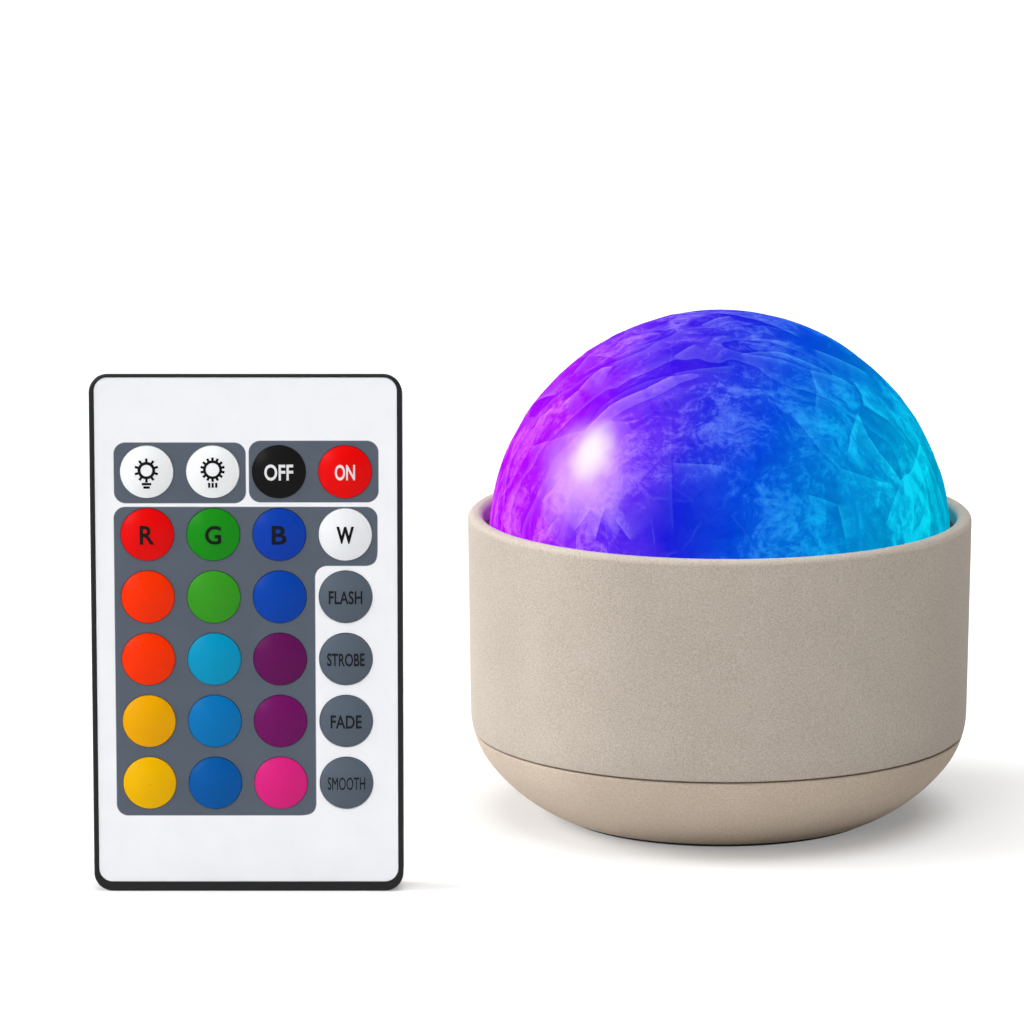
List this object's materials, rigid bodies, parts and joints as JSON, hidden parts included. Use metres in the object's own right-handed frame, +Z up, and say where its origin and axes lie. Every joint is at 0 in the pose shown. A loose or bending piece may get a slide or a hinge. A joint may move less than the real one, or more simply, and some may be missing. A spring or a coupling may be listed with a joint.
{
  "type": "northern lights projector",
  "caption": "Round bowl-shaped night light with a crinkled glowing dome over a motor-turned ripple cup, with an upright card remote of domed keys beside it.",
  "frame": {"origin": "centre of the projector's foot pad, on the face it stands on", "axes": "+Z up along the dome's axis, -Y towards the viewer and the remote's keys, +X to the viewer's right; the power socket is at the rear, +Y"},
  "size_m": [0.1537, 0.1058, 0.0908],
  "materials": {
    "stone_plastic": "fine speckled stone look, matte",
    "pad_rubber": "matte rubber",
    "steel": "zinc plated",
    "inner_plastic": "moulded, unpainted",
    "dark_plastic": "moulded, matte",
    "dome_plastic": "translucent, lit from inside",
    "clear_plastic": "clear, faceted",
    "gear_plastic": "acetal",
    "board": "solder mask",
    "lamp": "moulded resin",
    "infrared": "dark infrared resin",
    "lead_jacket": "insulated wire",
    "plate_white": "printed film, satin",
    "key_brighter": "moulded, satin",
    "key_dimmer": "moulded, satin",
    "key_off": "moulded, satin",
    "key_on": "moulded, satin",
    "key_red": "moulded, satin",
    "key_green": "moulded, satin",
    "key_blue": "moulded, satin",
    "key_white": "moulded, satin",
    "key_scarlet": "moulded, satin",
    "key_leaf_green": "moulded, satin",
    "key_royal_blue": "moulded, satin",
    "key_flash": "moulded, satin",
    "key_vermilion": "moulded, satin",
    "key_turquoise": "moulded, satin",
    "key_plum": "moulded, satin",
    "key_strobe": "moulded, satin",
    "key_amber": "moulded, satin",
    "key_sky_blue": "moulded, satin",
    "key_purple": "moulded, satin",
    "key_fade": "moulded, satin",
    "key_yellow": "moulded, satin",
    "key_azure": "moulded, satin",
    "key_pink": "moulded, satin",
    "key_smooth": "moulded, satin"
  },
  "bodies": {
    "base": {"housing_shell": "stone_plastic", "bottom_bowl": "stone_plastic", "foot_pad": "pad_rubber", "base_screws": "steel", "deck": "inner_plastic", "deck_screws": "steel", "outer_dome": "dome_plastic", "dome_ring": "dark_plastic", "gear_clip": "steel", "gearbox": "inner_plastic", "motor_can": "steel", "motor_screws": "steel", "lamp_board": "board", "lamp_board_screws": "steel", "lamps": "lamp", "ir_receiver": "infrared", "control_board": "board", "control_screws": "steel", "board_components": "dark_plastic", "power_socket": "dark_plastic", "lamp_leads": "lead_jacket", "motor_leads": "lead_jacket", "socket_leads": "lead_jacket"},
    "ripple_rotor": {"ripple_cup": "clear_plastic", "drive_gear": "gear_plastic"},
    "motor_pinion": {"pinion": "gear_plastic", "motor_shaft": "steel"},
    "remote": {"remote_case": "dark_plastic", "face_plate": "plate_white", "remote_board": "board", "snap_domes": "steel", "ir_emitter": "infrared", "battery_contacts": "steel"},
    "battery_drawer": {"battery_tray": "dark_plastic", "coin_cell": "steel"},
    "key_brighter": {"key_brighter": "key_brighter"},
    "key_dimmer": {"key_dimmer": "key_dimmer"},
    "key_off": {"key_off": "key_off"},
    "key_on": {"key_on": "key_on"},
    "key_red": {"key_red": "key_red"},
    "key_green": {"key_green": "key_green"},
    "key_blue": {"key_blue": "key_blue"},
    "key_white": {"key_white": "key_white"},
    "key_scarlet": {"key_scarlet": "key_scarlet"},
    "key_leaf_green": {"key_leaf_green": "key_leaf_green"},
    "key_royal_blue": {"key_royal_blue": "key_royal_blue"},
    "key_flash": {"key_flash": "key_flash"},
    "key_vermilion": {"key_vermilion": "key_vermilion"},
    "key_turquoise": {"key_turquoise": "key_turquoise"},
    "key_plum": {"key_plum": "key_plum"},
    "key_strobe": {"key_strobe": "key_strobe"},
    "key_amber": {"key_amber": "key_amber"},
    "key_sky_blue": {"key_sky_blue": "key_sky_blue"},
    "key_purple": {"key_purple": "key_purple"},
    "key_fade": {"key_fade": "key_fade"},
    "key_yellow": {"key_yellow": "key_yellow"},
    "key_azure": {"key_azure": "key_azure"},
    "key_pink": {"key_pink": "key_pink"},
    "key_smooth": {"key_smooth": "key_smooth"}
  },
  "joints": [
    {"name": "ripple_spin", "type": "hinge", "parent": "base", "child": "ripple_rotor", "pos_m": [0, 0, 0.047], "axis": [0, 0, 1], "continuous": true},
    {"name": "pinion_spin", "type": "hinge", "parent": "base", "child": "motor_pinion", "pos_m": [0.03, 0, 0.047], "axis": [0, 0, 1], "continuous": true},
    {"name": "remote_lift", "type": "slide", "parent": "base", "child": "remote", "axis": [0, 0, 1], "range_m": [0, 0.1]},
    {"name": "battery_tray_slide", "type": "slide", "parent": "remote", "child": "battery_drawer", "axis": [0, 0, -1], "range_m": [0, 0.026]},
    {"name": "press_brighter", "type": "slide", "parent": "remote", "child": "key_brighter", "axis": [0, 1, 0], "range_m": [0, 0.00035], "stiffness_N_per_m": 300},
    {"name": "press_dimmer", "type": "slide", "parent": "remote", "child": "key_dimmer", "axis": [0, 1, 0], "range_m": [0, 0.00035], "stiffness_N_per_m": 300},
    {"name": "press_off", "type": "slide", "parent": "remote", "child": "key_off", "axis": [0, 1, 0], "range_m": [0, 0.00035], "stiffness_N_per_m": 300},
    {"name": "press_on", "type": "slide", "parent": "remote", "child": "key_on", "axis": [0, 1, 0], "range_m": [0, 0.00035], "stiffness_N_per_m": 300},
    {"name": "press_red", "type": "slide", "parent": "remote", "child": "key_red", "axis": [0, 1, 0], "range_m": [0, 0.00035], "stiffness_N_per_m": 300},
    {"name": "press_green", "type": "slide", "parent": "remote", "child": "key_green", "axis": [0, 1, 0], "range_m": [0, 0.00035], "stiffness_N_per_m": 300},
    {"name": "press_blue", "type": "slide", "parent": "remote", "child": "key_blue", "axis": [0, 1, 0], "range_m": [0, 0.00035], "stiffness_N_per_m": 300},
    {"name": "press_white", "type": "slide", "parent": "remote", "child": "key_white", "axis": [0, 1, 0], "range_m": [0, 0.00035], "stiffness_N_per_m": 300},
    {"name": "press_scarlet", "type": "slide", "parent": "remote", "child": "key_scarlet", "axis": [0, 1, 0], "range_m": [0, 0.00035], "stiffness_N_per_m": 300},
    {"name": "press_leaf_green", "type": "slide", "parent": "remote", "child": "key_leaf_green", "axis": [0, 1, 0], "range_m": [0, 0.00035], "stiffness_N_per_m": 300},
    {"name": "press_royal_blue", "type": "slide", "parent": "remote", "child": "key_royal_blue", "axis": [0, 1, 0], "range_m": [0, 0.00035], "stiffness_N_per_m": 300},
    {"name": "press_flash", "type": "slide", "parent": "remote", "child": "key_flash", "axis": [0, 1, 0], "range_m": [0, 0.00035], "stiffness_N_per_m": 300},
    {"name": "press_vermilion", "type": "slide", "parent": "remote", "child": "key_vermilion", "axis": [0, 1, 0], "range_m": [0, 0.00035], "stiffness_N_per_m": 300},
    {"name": "press_turquoise", "type": "slide", "parent": "remote", "child": "key_turquoise", "axis": [0, 1, 0], "range_m": [0, 0.00035], "stiffness_N_per_m": 300},
    {"name": "press_plum", "type": "slide", "parent": "remote", "child": "key_plum", "axis": [0, 1, 0], "range_m": [0, 0.00035], "stiffness_N_per_m": 300},
    {"name": "press_strobe", "type": "slide", "parent": "remote", "child": "key_strobe", "axis": [0, 1, 0], "range_m": [0, 0.00035], "stiffness_N_per_m": 300},
    {"name": "press_amber", "type": "slide", "parent": "remote", "child": "key_amber", "axis": [0, 1, 0], "range_m": [0, 0.00035], "stiffness_N_per_m": 300},
    {"name": "press_sky_blue", "type": "slide", "parent": "remote", "child": "key_sky_blue", "axis": [0, 1, 0], "range_m": [0, 0.00035], "stiffness_N_per_m": 300},
    {"name": "press_purple", "type": "slide", "parent": "remote", "child": "key_purple", "axis": [0, 1, 0], "range_m": [0, 0.00035], "stiffness_N_per_m": 300},
    {"name": "press_fade", "type": "slide", "parent": "remote", "child": "key_fade", "axis": [0, 1, 0], "range_m": [0, 0.00035], "stiffness_N_per_m": 300},
    {"name": "press_yellow", "type": "slide", "parent": "remote", "child": "key_yellow", "axis": [0, 1, 0], "range_m": [0, 0.00035], "stiffness_N_per_m": 300},
    {"name": "press_azure", "type": "slide", "parent": "remote", "child": "key_azure", "axis": [0, 1, 0], "range_m": [0, 0.00035], "stiffness_N_per_m": 300},
    {"name": "press_pink", "type": "slide", "parent": "remote", "child": "key_pink", "axis": [0, 1, 0], "range_m": [0, 0.00035], "stiffness_N_per_m": 300},
    {"name": "press_smooth", "type": "slide", "parent": "remote", "child": "key_smooth", "axis": [0, 1, 0], "range_m": [0, 0.00035], "stiffness_N_per_m": 300}
  ],
  "couplings": [
    {"joint": "pinion_spin", "follows": "ripple_spin", "ratio": -4}
  ]
}
